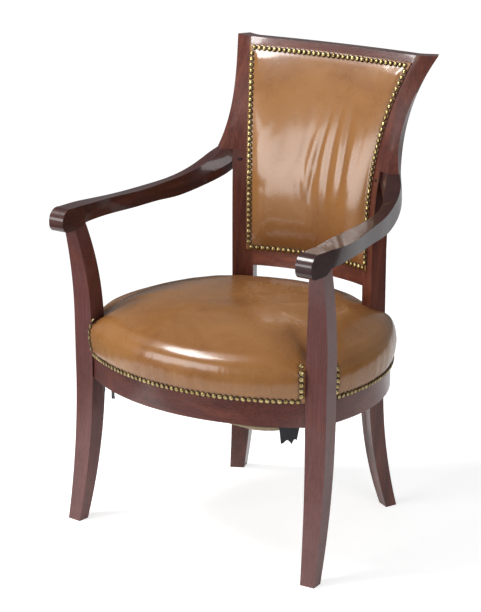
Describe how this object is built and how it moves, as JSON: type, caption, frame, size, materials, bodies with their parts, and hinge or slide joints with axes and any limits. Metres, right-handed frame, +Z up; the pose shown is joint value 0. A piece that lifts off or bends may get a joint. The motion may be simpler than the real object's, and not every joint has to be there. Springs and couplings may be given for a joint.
{
  "type": "armchair",
  "caption": "Wooden armchair with sabre legs, scrolled-in arms, a leaning padded leather back and a sprung leather seat, edged with brass dome nails.",
  "frame": {"origin": "on the floor, under the middle of the chair's box", "axes": "+Z up, the sitter faces -Y, +X is the picture's right"},
  "size_m": [0.5812, 0.561, 0.88],
  "materials": {
    "mahogany": "french polished, worn satin gloss",
    "beech": "bare, sawn and planed",
    "leather": "aged glossy caramel tan, creased",
    "brass_nails": "antique, dark round the rims",
    "hessian": "loose plain weave",
    "jute_webbing": "tight herringbone weave",
    "stuffing": "hair and fibre",
    "spring_steel": "copper-washed, dull",
    "steel_screws": "slightly rusted",
    "black_cloth": "torn shreds"
  },
  "bodies": {
    "root": {"arm_dowels": "beech", "arm_left": "mahogany", "arm_right": "mahogany", "arm_screw_plugs": "mahogany", "arm_screws": "steel_screws", "back_dowels": "beech", "back_hessian": "hessian", "back_leather": "leather", "back_nails": "brass_nails", "back_stuffing": "stuffing", "back_webbing": "jute_webbing", "bottom_hessian_scrap": "hessian", "bottoming_cloth_remnants": "black_cloth", "corner_block_front_left": "beech", "corner_block_front_right": "beech", "corner_block_rear_left": "beech", "corner_block_rear_right": "beech", "corner_block_screws": "steel_screws", "crest_rail": "mahogany", "front_leg_left": "mahogany", "front_leg_right": "mahogany", "lower_back_rail": "mahogany", "outside_back_leather": "leather", "outside_back_nails": "brass_nails", "rear_leg_left": "mahogany", "rear_leg_right": "mahogany", "seat_leather": "leather", "seat_nails": "brass_nails", "seat_rail_back": "beech", "seat_rail_dowels": "beech", "seat_rail_front": "mahogany", "seat_rail_left": "mahogany", "seat_rail_right": "mahogany", "seat_springs": "spring_steel", "seat_stuffing": "stuffing", "seat_webbing_cross": "jute_webbing", "seat_webbing_long": "jute_webbing", "spring_hessian": "hessian"}
  },
  "joints": []
}
